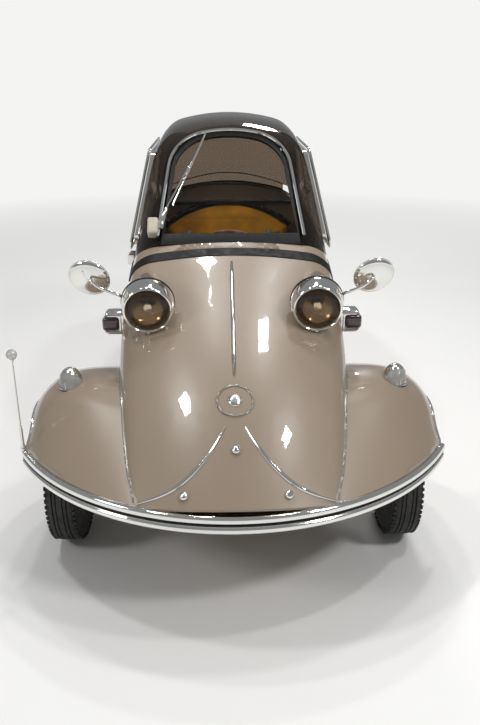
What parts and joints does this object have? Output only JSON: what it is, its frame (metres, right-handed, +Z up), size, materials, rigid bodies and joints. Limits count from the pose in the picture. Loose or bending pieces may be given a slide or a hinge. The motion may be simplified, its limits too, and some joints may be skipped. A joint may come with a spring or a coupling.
{
  "type": "three-wheeled bubble car",
  "caption": "Small cabin scooter with a long sloping nose, two front wheels under pod wings, one rear wheel, a side-hinged clear dome and a lifting tail.",
  "frame": {"origin": "on the ground, under the middle of the car's length and width", "axes": "+Y to the rear, +X to the car's left, +Z up"},
  "size_m": [1.228, 2.8232, 1.205],
  "materials": {
    "paint": "gloss",
    "paint_dark": "satin",
    "chrome": "polished",
    "steel": "satin",
    "cast": "rough",
    "tyre": "matte",
    "rubber": "matte",
    "rim_paint": "gloss",
    "smoke_glass": "polished",
    "clear_glass": "polished",
    "lamp_glass": "polished",
    "red_lens": "gloss",
    "amber_trim": "soft",
    "maroon_trim": "soft",
    "black_plastic": "matte",
    "white_plate": "gloss"
  },
  "bodies": {
    "body": {"canopy_hinges": "chrome", "nose_panel": "paint", "tub": "paint", "wing_left": "paint", "wing_right": "paint", "front_band": "chrome", "cockpit_seal": "rubber", "front_axle": "cast", "steering_column": "paint_dark", "dash_panel": "paint", "instrument_pod": "black_plastic", "front_seat_frame": "steel", "front_seat_cushion": "maroon_trim", "front_seat_back": "maroon_trim", "rear_seat_cushion": "maroon_trim", "rear_seat_back": "amber_trim", "rear_shelf": "black_plastic", "pedals": "steel", "gear_lever": "black_plastic", "headlamp_fairings": "paint", "headlamp_shells": "chrome", "headlamp_lenses": "lamp_glass", "wing_lamps": "chrome", "indicators": "chrome", "mirror_left": "chrome", "mirror_right": "chrome", "marker_rod": "chrome", "rear_frame": "cast", "rear_fork": "cast", "engine_block": "cast", "silencer": "steel"},
    "canopy": {"canopy_frame": "paint", "dome": "smoke_glass", "windscreen_frame": "rubber", "windscreen_glass": "clear_glass", "side_window_frames": "chrome", "side_windows": "clear_glass", "wiper": "chrome"},
    "engine_cover": {"engine_cover": "paint", "tail_lamps": "red_lens", "number_plate": "white_plate"},
    "steering": {"steering_bar": "paint_dark"},
    "knuckle_left": {"knuckle_left": "steel"},
    "knuckle_right": {"knuckle_right": "steel"},
    "track_rod": {"track_rod": "steel"},
    "wheel_front_left": {"tyre_front_left": "tyre", "rim_front_left": "rim_paint", "hub_cap_front_left": "chrome"},
    "wheel_front_right": {"tyre_front_right": "tyre", "rim_front_right": "rim_paint", "hub_cap_front_right": "chrome"},
    "wheel_rear": {"tyre_rear": "tyre", "rim_rear": "rim_paint"}
  },
  "joints": [
    {"name": "canopy_hinge", "type": "hinge", "parent": "body", "child": "canopy", "pos_m": [-0.352, 0, 0.748], "axis": [0, -1, 0], "range_deg": [0, 70]},
    {"name": "cover_hinge", "type": "hinge", "parent": "body", "child": "engine_cover", "pos_m": [0, 1.345, 0.33], "axis": [-1, 0, 0], "range_deg": [0, 55]},
    {"name": "steering_turn", "type": "hinge", "parent": "body", "child": "steering", "pos_m": [0, -0.33, 0.745], "axis": [0, 0.6224, 0.7827], "range_deg": [-25, 25]},
    {"name": "kingpin_left", "type": "hinge", "parent": "body", "child": "knuckle_left", "pos_m": [0.425, -0.9, 0.205], "axis": [0, 0, 1], "range_deg": [-25, 25]},
    {"name": "kingpin_right", "type": "hinge", "parent": "body", "child": "knuckle_right", "pos_m": [-0.425, -0.9, 0.205], "axis": [0, 0, 1], "range_deg": [-25, 25]},
    {"name": "track_rod_eye", "type": "hinge", "parent": "knuckle_left", "child": "track_rod", "pos_m": [0.425, -0.79, 0.193], "axis": [0, 0, 1], "range_deg": [-25, 25]},
    {"name": "front_left_spin", "type": "hinge", "parent": "knuckle_left", "child": "wheel_front_left", "pos_m": [0.505, -0.9, 0.205], "axis": [1, 0, 0], "continuous": true},
    {"name": "front_right_spin", "type": "hinge", "parent": "knuckle_right", "child": "wheel_front_right", "pos_m": [-0.505, -0.9, 0.205], "axis": [1, 0, 0], "continuous": true},
    {"name": "rear_spin", "type": "hinge", "parent": "body", "child": "wheel_rear", "pos_m": [0, 1.13, 0.205], "axis": [1, 0, 0], "continuous": true}
  ],
  "couplings": [
    {"joint": "kingpin_left", "follows": "steering_turn", "ratio": 1},
    {"joint": "kingpin_right", "follows": "steering_turn", "ratio": 1},
    {"joint": "track_rod_eye", "follows": "steering_turn", "ratio": -1}
  ]
}
